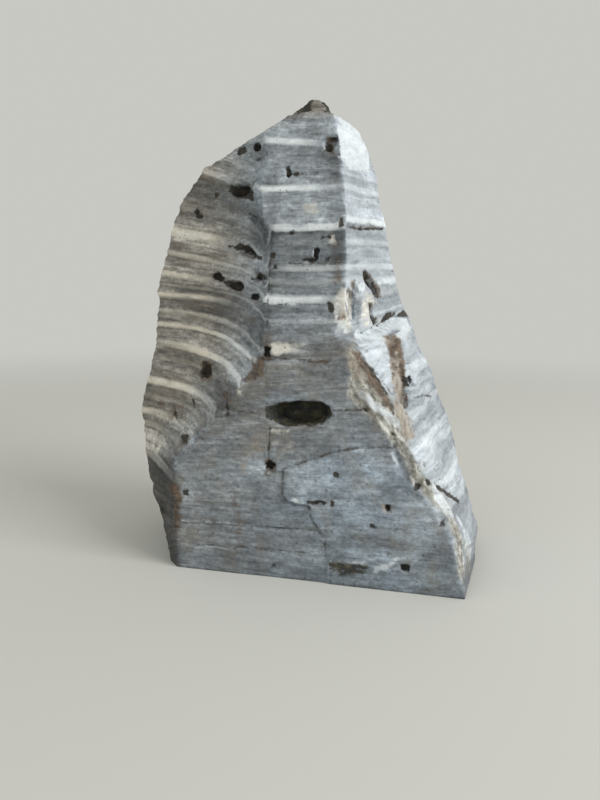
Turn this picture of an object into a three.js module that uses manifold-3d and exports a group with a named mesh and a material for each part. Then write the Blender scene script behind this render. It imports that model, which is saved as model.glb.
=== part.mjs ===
// A block of banded soapstone: sawn flat underneath and on the lower front, split and weathered elsewhere.
// Millimetres. X runs along the sawn front from left to right, +Y goes in from it, and +Z is up.
import * as THREE from 'three';
import { ConvexGeometry } from 'three/addons/geometries/ConvexGeometry.js';
import { TessellateModifier } from 'three/addons/modifiers/TessellateModifier.js';
import { ImprovedNoise } from 'three/addons/math/ImprovedNoise.js';
import * as BufferGeometryUtils from 'three/addons/utils/BufferGeometryUtils.js';
import Module from 'manifold-3d';

const wasm = await Module();
wasm.setup();

// Driving dimensions, in millimetres and degrees.
const HEIGHT = 194;            // base to the top of the knob
const FRONT_FOOT = -46.6;      // where the sawn front meets the base
const FRONT_LEAN = 5;          // how far the sawn front leans back
const UPPER_FOOT = -39.4;      // the split face over it, at UPPER_FOOT_HEIGHT
const UPPER_FOOT_HEIGHT = 90;
const UPPER_LEAN = 13;
const UPPER_TURN = 3.6;        // how far the split face turns to the left
const LIP = 43;                // height of the lip under the hollow left flank
const HOLLOW = 7;              // how deep that flank is hollowed
const HOLLOW_TOP = [150, 178]; // heights between which the hollow runs out
const MIDDLE_HEIGHT = 90;
const LONGEST_EDGE = 9;        // facets are split until no edge is longer

const tan = (degrees) => Math.tan(THREE.MathUtils.degToRad(degrees));
const { clamp, lerp, smoothstep } = THREE.MathUtils;

// The two flat faces that look forward: how far in each lies at a place seen from the front.
const frontDepth = (z) => FRONT_FOOT + z * tan(FRONT_LEAN);
const upperDepth = (x, z) => UPPER_FOOT + (z - UPPER_FOOT_HEIGHT) * tan(UPPER_LEAN) - x * tan(UPPER_TURN);
const at = (x, y, z) => new THREE.Vector3(x, y, z);
const onFront = (x, z) => at(x, frontDepth(z), z);
const onUpper = (x, z) => at(x, upperDepth(x, z), z);

// The outline of the left flank where it turns out of sight, from its lip up to the shoulder.
const leftEdge = [at(-74, -11, LIP), at(-76, -8, 61), at(-72, -5, 80), at(-70, -4, 101), at(-67, -4, 120),
  at(-61, -5, 142), at(-55, -5, 157), at(-44, -8, 168), at(-27.5, -13, 176)];
const leftShoulder = leftEdge[2];
// The sharp edge between the flank and the two flat faces, from the lip up to the top.
const flankCrest = [onFront(-45, LIP), onFront(-7, 88), onUpper(-14.5, 181)];
// The broken back, where both chunks reach the same surface.
const backRidge = [at(20, 46, 92), at(-28, 44, 96), at(-52, 38, 88), at(-68, 26, 90)];
const rightShoulder = at(41.5, 34, 109.5);
// The front edge of the right face, where it stands proud behind the spall.
const stepEdge = [at(44, -6.6, 97.5), at(50, -22, 68)];

// The stone is two convex chunks grown together: a broad foot with the sawn front, and a narrower upper part.
const footCorners = [
  onFront(-42, 0), onFront(-42.5, 28), onFront(20, 100), onFront(26, 94), onFront(68, 26), onFront(75, 8),
  onFront(76.5, 0), flankCrest[0], flankCrest[1], leftEdge[0], leftEdge[1], leftShoulder,
  at(-47.5, -41, 0), at(-54, -32, 8), at(-60.5, -23, 20), at(-69, -17, 30),
  at(30.5, -35.5, 96), at(72.5, -41, 25), at(77, -20, 0), at(78, 10, 0), at(82.3, 12, 9), at(80, 24, 12),
  at(74, 34, 27), at(66, 40, 49), at(54, 39, 80), rightShoulder, ...stepEdge,
  at(70, 32, 0), at(40, 40, 0), at(-20, 38, 0), at(-50, 20, 0), at(-52, -20, 0),
  at(30, 46, 60), at(-30, 45, 60), at(-64, 34, 55), ...backRidge,
];
const upperCorners = [
  ...leftEdge.slice(2), flankCrest[1], flankCrest[2],
  onUpper(-4, 187), onUpper(9, 189), onUpper(15.5, 186.5), onUpper(20, 168), onUpper(24, 136),
  onUpper(25, 108), onUpper(20, 99),
  at(22.5, 5, 184.5), at(27.5, 18, 168), at(32.4, 26, 147.5), at(36.2, 31, 123.5), at(40, 33, 109.5),
  at(48, 36, 80),
  at(10, 16, 186), at(-20, 12, 182), at(-44, 12, 168), at(10, 38, 140), at(-40, 34, 135), ...backRidge,
  at(-40, 30, 40), at(40, 30, 40),
];
// The knob left standing on the top.
const knobCorners = [
  at(1, -13, HEIGHT - 4), at(5, -12, HEIGHT), at(10, -10, HEIGHT - 1.5), at(8, -4, HEIGHT - 1),
  at(2, -4, HEIGHT - 2),
  at(-8, -15, 184), at(15, -13, 184), at(16, 4, 183), at(-8, 6, 183),
];

function closedGeometry(geometry) {
  const bare = geometry.clone();
  bare.deleteAttribute('normal');
  bare.deleteAttribute('uv');
  return BufferGeometryUtils.mergeVertices(bare, 1e-3);
}

function solidOf(geometry) {
  const closed = closedGeometry(geometry);
  return new wasm.Manifold(new wasm.Mesh({
    numProp: 3,
    vertProperties: closed.attributes.position.array,
    triVerts: new Uint32Array(closed.index.array),
  }));
}

function geometryOf(solid) {
  const mesh = solid.getMesh();
  const geometry = new THREE.BufferGeometry();
  geometry.setAttribute('position', new THREE.BufferAttribute(mesh.vertProperties, 3));
  geometry.setIndex(new THREE.BufferAttribute(mesh.triVerts, 1));
  return geometry;
}

const chunk = (corners) => solidOf(new ConvexGeometry(corners));

// Splits off everything beyond a plane, given by the way it faces in plan (0 is forwards, 90 to the right), its
// lean and how far it stands from the middle of the stone.
const WASTE_SIZE = 400;
function cleave(solid, { faces, lean, reach }) {
  const waste = new THREE.BoxGeometry(WASTE_SIZE, WASTE_SIZE, WASTE_SIZE);
  waste.translate(0, -WASTE_SIZE / 2 - reach, 0);
  waste.rotateX(THREE.MathUtils.degToRad(-lean));
  waste.rotateZ(THREE.MathUtils.degToRad(faces));
  waste.translate(0, 0, MIDDLE_HEIGHT);
  return solid.subtract(solidOf(waste));
}

function lump(place, radii, turn = [0, 0, 0], detail = 1) {
  const geometry = new THREE.IcosahedronGeometry(1, detail);
  geometry.scale(...radii);
  geometry.rotateX(THREE.MathUtils.degToRad(turn[0]));
  geometry.rotateY(THREE.MathUtils.degToRad(turn[1]));
  geometry.rotateZ(THREE.MathUtils.degToRad(turn[2]));
  geometry.translate(...place);
  return solidOf(geometry);
}

// A value read along a line of points by height.
function alongHeight(points, z, axis) {
  const above = clamp(points.findIndex((point) => point.z >= z), 1, points.length - 1);
  const low = points[above - 1];
  const high = points[above];
  const share = clamp((z - low.z) / (high.z - low.z), 0, 1);
  return lerp(low[axis], high[axis], share);
}

const noise = new ImprovedNoise();
const noiseAt = (p, along, up, seed) => noise.noise(p.x / along + seed, p.y / along + 2 * seed, p.z / up);

// How far a point lies from the flank's crest (0) to its left edge (1), or null off the flank.
function acrossFlank(p) {
  const crest = alongHeight(flankCrest, p.z, 'x');
  const edge = alongHeight(leftEdge, p.z, 'x');
  const across = (crest - p.x) / (crest - edge);
  const inFront = p.y < alongHeight(leftEdge, p.z, 'y') + 0.5;
  return across > 0 && across < 1 && inFront ? across : null;
}

// The left flank is hollow, deepest just behind its crest.
function hollowFlank(p) {
  const across = acrossFlank(p);
  if (across === null) return;
  const fade = smoothstep(p.z, LIP, LIP + 12) * (1 - smoothstep(p.z, ...HOLLOW_TOP))
    * lerp(0.3, 1, smoothstep(Math.abs(p.z - flankCrest[1].z), 0, 28));
  const depth = HOLLOW * fade * Math.sin(Math.PI * Math.pow(across, 0.7));
  p.x += 0.45 * depth;
  p.y += 0.9 * depth;
}

// Split faces are uneven, in low ledges that follow the bedding; sawn and cleanly split faces stay nearly flat.
function roughen(p) {
  if (p.z < 0.01) return;
  const offFront = p.y - Math.max(frontDepth(p.z), upperDepth(p.x, p.z));
  const wild = lerp(0.15, 1, smoothstep(offFront, 1, 14)) * smoothstep(p.z, 0, 8);
  const behind = smoothstep(p.y / Math.hypot(p.x, p.y, 1), 0.62, 0.9);
  const bedding = p.z - 0.06 * p.x + 0.25 * p.y;
  const ledge = noiseAt({ x: p.x, y: p.y, z: bedding }, 60, 11, 3.7);
  const swell = noiseAt(p, 32, 40, 9.1);
  const push = wild * ((1.6 + 2.2 * behind) * ledge + (1.6 + 3.4 * behind) * swell);
  const out = new THREE.Vector3(p.x, p.y, 0.35 * Math.max(0, p.z - 120)).normalize();
  p.addScaledVector(out, push);
}

// Weather has rounded the flank's facets into one hollow sheet: each point drifts towards its neighbours.
function weatherFlank(geometry, rounds) {
  const place = geometry.attributes.position;
  const corners = geometry.index.array;
  const pointAt = (i) => new THREE.Vector3().fromBufferAttribute(place, i);
  const near = Array.from({ length: place.count }, () => new Set());
  for (let i = 0; i < corners.length; i += 3) {
    const [a, b, c] = corners.slice(i, i + 3);
    near[a].add(b).add(c);
    near[b].add(a).add(c);
    near[c].add(a).add(b);
  }
  const share = near.map((_, i) => {
    const point = pointAt(i);
    const across = acrossFlank(point);
    if (across === null) return 0;
    return 0.8 * smoothstep(across, 0.02, 0.15) * (1 - smoothstep(across, 0.85, 0.98))
      * smoothstep(point.z, LIP + 2, LIP + 10) * (1 - smoothstep(point.z, 165, 176));
  });
  for (let round = 0; round < rounds; round += 1) {
    const before = Array.from({ length: place.count }, (_, i) => pointAt(i));
    before.forEach((point, i) => {
      if (share[i] === 0) return;
      const middle = new THREE.Vector3();
      near[i].forEach((j) => middle.add(before[j]));
      const moved = point.clone().lerp(middle.divideScalar(near[i].size), share[i]);
      place.setXYZ(i, moved.x, moved.y, moved.z);
    });
  }
}

function movePoints(geometry, ...moves) {
  const place = geometry.attributes.position;
  const point = new THREE.Vector3();
  for (let i = 0; i < place.count; i += 1) {
    point.fromBufferAttribute(place, i);
    moves.forEach((move) => move(point));
    place.setXYZ(i, point.x, point.y, point.z);
  }
}

// The chunks are joined, and the back is split off along four planes.
const backSplits = [
  { faces: 178, lean: 8, reach: 43 },
  { faces: 215, lean: 10, reach: 53 },
  { faces: 175, lean: 38, reach: 66 },
  { faces: 180, lean: -12, reach: 54 },
];
const blank = backSplits.reduce(cleave, chunk(footCorners).add(chunk(upperCorners))).add(chunk(knobCorners));
const split = new TessellateModifier(LONGEST_EDGE, 12).modify(geometryOf(blank).toNonIndexed());
const skin = closedGeometry(split);
movePoints(skin, hollowFlank);
weatherFlank(skin, 10);
movePoints(skin, roughen);
let stone = solidOf(skin);

// The big cavity in the sawn front: a lens with a pointed right end, narrowing inwards to its middle.
const mouth = [[-5, 64.4], [-5.4, 68], [-1.5, 71.2], [7, 72.8], [17, 73.2], [21, 71.4], [22, 68.2],
  [18.6, 64.4], [14, 62.8], [2, 62.2]];
const CAVITY_MIDDLE = [8.5, 67.6];
const CAVITY_DEPTH = 10;
const cavity = mouth.flatMap(([x, z]) => [
  at(x, frontDepth(z) - 2, z),
  at(lerp(x, CAVITY_MIDDLE[0], 0.35), frontDepth(z) + CAVITY_DEPTH, lerp(z, CAVITY_MIDDLE[1], 0.4)),
]);
stone = stone.subtract(chunk(cavity));

// A thin slab has come off the left of the sawn front. It leaves a low step that fades out to the left.
const SLAB_STEP = 0.9;
const SLAB_TURN = 0.83;
const SLAB_EDGE = 22;          // how far right it reached
const slabOutline = [[-60, -2], [-60, 95], [-6, 95], [-5, 67], [-3.5, 46], [2.8, 43.5], [3.4, 31.5], [13, 31.6],
  [18.4, 20], [SLAB_EDGE, 10], [SLAB_EDGE, -2]];
const slabShape = new THREE.Shape(slabOutline.map(([x, z]) => new THREE.Vector2(x, z)));
const slab = new THREE.ExtrudeGeometry(slabShape, { depth: 12, bevelEnabled: false });
slab.rotateX(Math.PI / 2 - THREE.MathUtils.degToRad(FRONT_LEAN));
slab.rotateZ(THREE.MathUtils.degToRad(SLAB_TURN));
slab.translate(0, FRONT_FOOT + SLAB_STEP - SLAB_EDGE * tan(SLAB_TURN), 0);
stone = stone.subtract(solidOf(slab));

// A spall off the edge between the sawn front and the right face, with a step behind it.
const spall = chunk([
  at(29, -41, 97.5), at(37.2, -9.5, 99.5), at(45.5, -6, 100.5), at(47.5, -29, 67.5), at(62, -45, 85),
  at(62, -12, 96),
]);
stone = stone.subtract(spall);

// The open joint over the foot, along the right face: the foot's sloping top stands proud under an overhang.
const joint = chunk([
  at(26.5, -26.5, 98.8), at(36, -26.5, 95), at(36, -26.5, 101.4),
  at(40.8, 35, 107.8), at(52, 35, 103.6), at(52, 35, 110.6),
]);
stone = stone.subtract(joint);

// The right face's edges are chipped where they were split off: place, half sizes across, in and up, and turn.
const chips = [
  { place: [27, -39, 101], size: [4, 6, 5], turn: 20 },
  { place: [26, -31, 111], size: [2.4, 5, 8], turn: 10 },
  { place: [31, -25, 108], size: [2.4, 6, 7], turn: -15 },
  { place: [37, -40.5, 84], size: [3.4, 5, 7], turn: 25 },
  { place: [50, -43, 53], size: [5, 5, 10], turn: 28 },
  { place: [58.5, -44, 44], size: [4.5, 4, 4.5], turn: 30 },
  { place: [68, -44.5, 30], size: [3.4, 4, 7], turn: 35 },
  { place: [76.5, -45, 12], size: [3, 5, 8], turn: 5 },
  { place: [-29, -44, 60], size: [6, 3.6, 3.4], turn: -45 },
  { place: [-14, -42, 81], size: [6, 3.4, 3], turn: -45 },
];
chips.forEach(({ place, size, turn }) => {
  stone = stone.subtract(lump(place, size, [0, -turn, 0], 0));
});

// Pits where softer grains have weathered out. Each is given by its place on the face, seen from in front or
// from the right, its half sizes across, in and up, and its tilt. The face says how deep in the place lies.
const face = new THREE.Mesh(geometryOf(stone), new THREE.MeshBasicMaterial());
const FAR = 300;
function faceFromFront(x, z) {
  const ray = new THREE.Raycaster(at(x, -FAR, z), at(0, 1, 0));
  return ray.intersectObject(face)[0].point.toArray();
}
function faceFromRight(y, z) {
  const ray = new THREE.Raycaster(at(FAR, y, z), at(-1, 0, 0));
  return ray.intersectObject(face)[0].point.toArray();
}
const frontPits = [
  { place: [-24.8, 158.2], size: [7, 5, 2.9], tilt: -8 },
  { place: [-18.7, 146], size: [9, 3, 1.3], tilt: -28 },
  { place: [-20.9, 131.9], size: [8.6, 5, 2.1], tilt: -22 },
  { place: [-36, 121.2], size: [3.6, 3, 1.8], tilt: -10 },
  { place: [-26, 117.6], size: [7, 4, 1.8], tilt: -14 },
  { place: [-12.8, 121.4], size: [4.4, 4, 1.4], tilt: 0 },
  { place: [-14.5, 113.2], size: [2.8, 3, 1.2], tilt: 0 },
  { place: [-37.7, 80.6], size: [3.2, 3.4, 3.4], tilt: 0 },
  { place: [-6.2, 91.4], size: [2, 3, 1.8], tilt: 0 },
  { place: [-47, 149], size: [1.8, 2, 2.2], tilt: 0 },
  { place: [-17.5, 174.9], size: [2, 3, 1.5], tilt: -10 },
  { place: [12, 131], size: [1.2, 3, 3], tilt: 8 },
  { place: [9.3, 128], size: [4.4, 2.4, 0.9], tilt: 0 },
  { place: [-2.4, 163.6], size: [1.2, 2.4, 2.4], tilt: 5 },
  { place: [14.2, 174.8], size: [3, 3, 3.2], tilt: 0 },
  { place: [-3, 45.6], size: [2.2, 3, 2.2], tilt: 0 },
  { place: [17.4, 31.8], size: [4.8, 3, 1], tilt: 2 },
  { place: [45.1, 33], size: [1.5, 2.4, 1.3], tilt: 0 },
  { place: [53.2, 9.7], size: [1.9, 2, 1.5], tilt: 0 },
];
const rightPits = [
  { place: [-10.2, 119.3], size: [10, 3, 1.7], tilt: -33 },
  { place: [-12, 106.2], size: [5.6, 2.6, 1.3], tilt: -75 },
  { place: [-17.3, 80], size: [3.2, 2.6, 2.4], tilt: 0 },
];
frontPits.forEach(({ place, size, tilt }) => {
  const pit = lump(faceFromFront(...place), size, [0, -tilt, 0]);
  stone = stone.subtract(pit);
});
rightPits.forEach(({ place, size, tilt }) => {
  const pit = lump(faceFromRight(...place), size, [0, -tilt, 90]);
  stone = stone.subtract(pit);
});

// The origin is on the base, under the middle of the stone.
const geometry = geometryOf(stone).toNonIndexed();
geometry.computeBoundingBox();
const middle = geometry.boundingBox.getCenter(new THREE.Vector3());
geometry.translate(-middle.x, -middle.y, -geometry.boundingBox.min.z);
geometry.computeVertexNormals();
const material = new THREE.MeshStandardMaterial({ color: 0x8b8e8c, roughness: 0.8, metalness: 0 });
const mesh = new THREE.Mesh(geometry, material);
mesh.name = 'soapstone';
const model = new THREE.Group();
model.add(mesh);
export default model;
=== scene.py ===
import math

import bmesh
import bpy
import numpy as np
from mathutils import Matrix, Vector, noise


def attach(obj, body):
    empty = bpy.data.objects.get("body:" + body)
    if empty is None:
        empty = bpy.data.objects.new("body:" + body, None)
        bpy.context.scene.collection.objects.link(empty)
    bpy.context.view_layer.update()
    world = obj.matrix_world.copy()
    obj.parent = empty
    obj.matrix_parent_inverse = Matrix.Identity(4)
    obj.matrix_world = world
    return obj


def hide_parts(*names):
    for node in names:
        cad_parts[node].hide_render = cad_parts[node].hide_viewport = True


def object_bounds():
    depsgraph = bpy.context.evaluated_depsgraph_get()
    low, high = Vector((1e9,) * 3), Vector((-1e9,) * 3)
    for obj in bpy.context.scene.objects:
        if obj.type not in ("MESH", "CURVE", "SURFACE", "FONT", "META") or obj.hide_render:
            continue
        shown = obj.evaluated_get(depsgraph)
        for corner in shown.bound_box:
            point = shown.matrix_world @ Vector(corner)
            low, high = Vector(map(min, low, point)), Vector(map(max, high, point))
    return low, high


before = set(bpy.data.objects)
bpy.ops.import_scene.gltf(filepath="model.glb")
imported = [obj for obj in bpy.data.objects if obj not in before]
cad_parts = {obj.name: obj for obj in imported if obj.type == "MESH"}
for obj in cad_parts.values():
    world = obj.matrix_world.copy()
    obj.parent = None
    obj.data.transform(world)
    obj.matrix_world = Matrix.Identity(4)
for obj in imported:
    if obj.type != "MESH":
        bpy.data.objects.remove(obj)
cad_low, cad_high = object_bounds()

# ---------------------------------------------------------------------------------------------------------
# The block: one lump of banded soapstone. It was sawn flat underneath and on the lower front, and split
# along its joints elsewhere. Its surface is cut fine enough here to take the weathering that follows.
MM = 0.001
GRAIN_SPACING = 0.0007         # metres between points of the fine surface

solid = bmesh.new()
solid.from_mesh(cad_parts["soapstone"].data)
bmesh.ops.remove_doubles(solid, verts=solid.verts, dist=1e-6)
block_mesh = bpy.data.meshes.new("soapstone_block")
solid.to_mesh(block_mesh)
solid.free()
block = bpy.data.objects.new("soapstone_block", block_mesh)
bpy.context.scene.collection.objects.link(block)
surface = block.modifiers.new("fine surface", "REMESH")
surface.mode = "VOXEL"
surface.voxel_size = GRAIN_SPACING


def settle(piece):
    """Makes a piece's modifiers part of its mesh."""
    settled = bpy.data.meshes.new_from_object(piece.evaluated_get(bpy.context.evaluated_depsgraph_get()))
    piece.modifiers.clear()
    piece.data = settled


settle(block)


def places_of(mesh):
    """Every point of a mesh in millimetres."""
    flat = np.empty(len(mesh.vertices) * 3)
    mesh.vertices.foreach_get("co", flat)
    return flat.reshape(-1, 3) / MM


def facings_of(mesh):
    """The way that the surface faces at every point."""
    flat = np.empty(len(mesh.vertices) * 3)
    mesh.vertex_normals.foreach_get("vector", flat)
    return flat.reshape(-1, 3)


def eased(values, mesh, rounds):
    """Evens out a value over the surface: each point drifts to the mean of its neighbours."""
    ends = np.empty(len(mesh.edges) * 2, dtype=np.int64)
    mesh.edges.foreach_get("vertices", ends)
    ends = ends.reshape(-1, 2)
    count = len(mesh.vertices)
    share = np.bincount(ends.ravel(), minlength=count)[:, None]
    for _ in range(rounds):
        total = np.zeros_like(values)
        for axis in range(values.shape[1]):
            total[:, axis] = (np.bincount(ends[:, 0], values[ends[:, 1], axis], count)
                              + np.bincount(ends[:, 1], values[ends[:, 0], axis], count))
        values = 0.5 * values + 0.5 * total / share
    return values


def ramp(value, low, high):
    """0 at low, 1 at high, with a soft turn at each end."""
    share = np.clip((value - low) / (high - low), 0, 1)
    return share * share * (3 - 2 * share)


def uneven(places, size, seed, octaves=2):
    """A random swell, near -1 to 1, whose bumps are about size millimetres wide."""
    spread = (places / np.array(size) + 31.7 * seed).tolist()
    return np.array([noise.fractal(place, 0.9, 2.1, octaves) for place in spread])


# The two flat faces that look forward, in millimetres. Both lean back, and the upper, split one is turned a
# little to the left.
SAWN_FOOT = -47.35
SAWN_LEAN = math.tan(math.radians(5))
SPLIT_PLACE = (-2.8, -40.15, 90)
SPLIT_LEAN = math.tan(math.radians(13))
SPLIT_TURN = math.tan(math.radians(3.6))


def sawn_depth(z):
    """How far in the sawn face lies at a height."""
    return SAWN_FOOT + z * SAWN_LEAN


def split_depth(x, z):
    """How far in the split face lies at a place across and a height."""
    x0, y0, z0 = SPLIT_PLACE
    return y0 + (z - z0) * SPLIT_LEAN - (x - x0) * SPLIT_TURN


# Edges seen from in front, as heights and places across: the hollow left flank ends at its crest, and the
# right face starts at its corner.
CREST_HEIGHTS = [0, 28, 43, 48, 55, 62, 66, 74, 78, 82, 88, 112, 138, 146, 155, 160, 168, 181]
CREST = [-44.8, -45.3, -48, -45, -40, -31, -25.5, -23, -18, -11.5, -10, -10.5, -10.5, -14, -19.5, -20, -16,
         -17.3]
CORNER_HEIGHTS = [0, 20, 44, 60, 98, 136, 186]
CORNER = [74, 70, 50, 43, 25, 22, 14]


def left_of_crest(x, z):
    """How far to the left of the crest a point lies, so round it on the hollow flank."""
    return np.interp(z, CREST_HEIGHTS, CREST) - x


def right_of_corner(x, z):
    """How far to the right of the front corner a point lies, so round it on the right face."""
    return x - np.interp(z, CORNER_HEIGHTS, CORNER)


def on_flank(x, z):
    """How far a point belongs to the hollow left flank."""
    return ramp(left_of_crest(x, z), -0.5, 1.8)


def zones_of(places, facings):
    """How far each point belongs to each of the stone's faces, by its place and the way it is turned."""
    x, y, z = places.T
    turn = np.degrees(np.arctan2(facings[:, 0], -facings[:, 1]))
    past_crest = on_flank(x, z)
    past_corner = ramp(right_of_corner(x, z), 0, 2.5)
    forward = (1 - ramp(np.abs(turn - 4), 24, 42)) * (1 - past_crest) * (1 - past_corner)
    sawn = forward * (1 - ramp(y - sawn_depth(z), 1.4, 3.2)) * (1 - ramp(z, 98, 104))
    split = forward * (1 - ramp(y - split_depth(x, z), 1.6, 3.6)) * ramp(z, 84, 92) * (1 - sawn)
    flank = past_crest * (1 - ramp(np.abs(turn + 40), 75, 95))
    right = np.maximum(past_corner, ramp(turn, 30, 52)) * (1 - ramp(np.abs(turn), 125, 150))
    right *= 1 - past_crest
    right *= 1 - ramp(z, 185, 188)
    back = ramp(np.abs(turn), 105, 140)
    return {"sawn": sawn, "split": split, "right": right, "flank": flank, "back": back}


def seen_from(places, facings):
    """How squarely each point faces the front and the right, where marks are laid on from."""
    x, _, z = places.T
    on_right = ramp(right_of_corner(x, z), -1.5, 0.5)
    return ramp(-facings[:, 1], 0.1, 0.35), ramp(facings[:, 0], 0.15, 0.4) * on_right


# The beds lie level at the back and dip towards the sawn front. A bed is named by a number: the height, in
# millimetres, at which it would come out in front of the fold.
FOLD_LEVEL = 100
FOLD_DEPTH = 42.85             # how far above its number a bed lies behind the fold, at FOLD_LEVEL
FOLD_GROWTH = 0.6              # how much further, for each millimetre above that level
FOLD_FRONT = -60
FOLD_SKEW = 0.088              # how much further forward the fold starts, for each millimetre to the right
FOLD_REACH = 12.3
FOOT_TILT = 0.02               # how much the beds rise to the right, low down
# On the left flank the beds also lean down to the right, more so near the top. The lean is measured from the
# flank's own outline.
LEAN_HEIGHTS = [112, 128, 147, 162]
LEANS = [0, 0.045, 0.055, 0.085]
FLANK_OUTLINE = (-62, 135)
FLANK_SLOPE = 0.96
# Near the top of the split face they lean the same way, about its middle.
TOP_LEAN = 0.04
TOP_MIDDLE = -5


def folded_bed(x, y, z):
    """The bed at each point of the folded rock."""
    dip = 1 - np.exp(-np.clip(y + FOLD_SKEW * x - FOLD_FRONT, 0, None) / FOLD_REACH)
    low = np.clip((120 - z) / 60, 0, 1)
    x0, z0 = FLANK_OUTLINE
    lean = on_flank(x, z) * np.interp(z, LEAN_HEIGHTS, LEANS) * (x - x0 - FLANK_SLOPE * (z - z0))
    lean += TOP_LEAN * (1 - on_flank(x, z)) * ramp(z, 150, 175) * (x - TOP_MIDDLE)
    lean *= 1 - ramp(y, 0, 28)
    return z - (FOLD_DEPTH + FOLD_GROWTH * (z - FOLD_LEVEL)) * dip - FOOT_TILT * low * x + lean


def corner_at(z):
    """Where the right face starts, across and in, at a height."""
    x = np.interp(z, CORNER_HEIGHTS, CORNER)
    return x, np.maximum(sawn_depth(z), split_depth(x, z))


# Along the right face the beds run straight: how much they rise towards the back, by height. Just below the
# middle they also drop where the face turns to the front, from DROP_START forward.
RISE_HEIGHTS = [20, 40, 55, 90, 104, 125, 187]
RISES = [-0.1, -0.07, -0.02, 0, 0.1, 0.04, 0.05]
DROP_START = -26
DROP = 0.28


def level_of(places):
    """The height at which each point's bed comes out at the front corner of the right face."""
    _, y, z = places.T
    level = z - np.interp(z, RISE_HEIGHTS, RISES) * (y - corner_at(z)[1])
    return level + DROP * np.clip(DROP_START - y, 0, None) * ramp(z, 42, 48) * (1 - ramp(z, 85, 95))


def bed_of(places, right):
    """The bed at each point: folded in front and at the back, and carried straight along the right face."""
    level = level_of(places)
    straight = folded_bed(*corner_at(level), level)
    return (1 - right) * folded_bed(*places.T) + right * straight


# Harder, paler beds: the bed, half its thickness, how pale it is along the front and the left flank (place
# across and strength, from left to right), and how pale on the right face.
PALE_BEDS = [
    (91.15, 0.3, [(-30, 0.2), (-17, 0.3), (-15, 1), (-4, 1), (6, 0.25), (12, 0)], 0),
    (84.5, 0.4, [(-60, 0.5), (-38, 0.65), (-32, 0.1), (-22, 0.1), (-18, 1), (6, 1), (8, 0.35), (18, 0.3)],
     0.2),
    (79.9, 0.4, [(18, 0)], 0.7),
    (78.9, 0.38, [(-60, 0.15), (-12, 0.1), (-9, 1), (14, 0.9), (18, 0.4)], 0),
    (76.8, 0.25, [(-14, 0), (2, 0.2), (18, 0)], 0.3),
    (74.7, 0.75, [(-64, 0.9), (-48, 0.85), (-40, 0.4), (-33, 0.1), (-20, 0)], 0),
    (73.2, 0.3, [(-12, 0), (-2, 0.45), (18, 0.5)], 0.4),
    (71.3, 0.22, [(-70, 0.45), (-40, 0.4), (-10, 0.25), (18, 0.3)], 0.3),
    (68.75, 0.42, [(-66, 0), (-14, 0.1), (-11, 1), (10, 0.9), (15, 0.3)], 0.2),
    (67.7, 0.45, [(-68, 1), (-56, 0.95), (-48, 0.4), (-40, 0.2), (-12, 0)], 0),
    (65.6, 0.25, [(-70, 0.1), (-12, 0.3), (18, 0.35)], 0.2),
    (63.8, 0.45, [(-68, 1), (-50, 0.95), (-40, 0.45), (-30, 0.1), (-10, 0)], 0.3),
    (60.9, 0.3, [(-72, 0.5), (-40, 0.5), (-12, 0.3), (-8, 0)], 0.3),
    (58.5, 0.36, [(-72, 0.7), (-50, 0.8), (-38, 1), (-16, 1), (-12, 0)], 0.2),
    (55.1, 0.5, [(-72, 0.15), (-60, 0.5), (-42, 0.9), (-19, 1), (-14, 0)], 0.3),
    (52.4, 0.28, [(-74, 0.2), (-40, 0.2), (-20, 0)], 0.2),
    (48.4, 0.42, [(-76, 0.6), (-60, 0.85), (-45, 0.7), (-36, 0.3), (-30, 0)], 0.3),
    (45.7, 0.3, [(-76, 0.2), (-50, 0.2), (-30, 0)], 0.2),
    (43, 0.4, [(-78, 0.7), (-66, 0.6), (-52, 0.2), (-46, 0)], 0.2),
    (40.7, 0.6, [(-78, 0.3), (-60, 0.2), (-46, 0)], 0.3),
    (35.4, 1, [(-78, 0.4), (-60, 0.3), (-46, 0)], 0.3),
]
BED_EDGE = 0.11                # how softly a pale bed ends
BED_MIDDLES = np.array([pale[0] for pale in PALE_BEDS])
BACK_ENDS = [-55, 45]


def pale_strength(bed, x, right, back):
    """How pale the nearest pale bed is at each point. Behind, that goes evenly from the left to the right."""
    nearest = np.abs(bed[:, None] - BED_MIDDLES).argmin(axis=1)
    strength = np.zeros_like(bed)
    for number, (_, _, along, on_right) in enumerate(PALE_BEDS):
        here = nearest == number
        across, shown = np.array(along).T
        in_front = np.interp(x[here], across, shown)
        behind = np.interp(x[here], BACK_ENDS, [shown[0], on_right])
        strength[here] = in_front + back[here] * (behind - in_front)
        strength[here] += right[here] * (on_right - strength[here])
    return strength


def pale_bed(bed):
    """How far a bed number lies in one of the pale beds."""
    pale = np.zeros_like(bed)
    for middle, half, _, _ in PALE_BEDS:
        pale = np.maximum(pale, 1 - ramp(np.abs(bed - middle), half, half + 2 * BED_EDGE))
    return pale


def eaten(places, back):
    """Small pits scattered over the weathered back."""
    return back * ramp(uneven(places, (6, 6, 3.6), 13), 0.54, 0.7)


def off_line(across, up, points):
    """The distance to a broken line drawn on a face."""
    nearest = np.full_like(across, 1e3)
    for (x0, z0), (x1, z1) in zip(points, points[1:]):
        length = (x1 - x0) ** 2 + (z1 - z0) ** 2
        share = np.clip(((across - x0) * (x1 - x0) + (up - z0) * (z1 - z0)) / length, 0, 1)
        nearest = np.minimum(nearest, np.hypot(across - x0 - share * (x1 - x0), up - z0 - share * (z1 - z0)))
    return nearest


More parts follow.
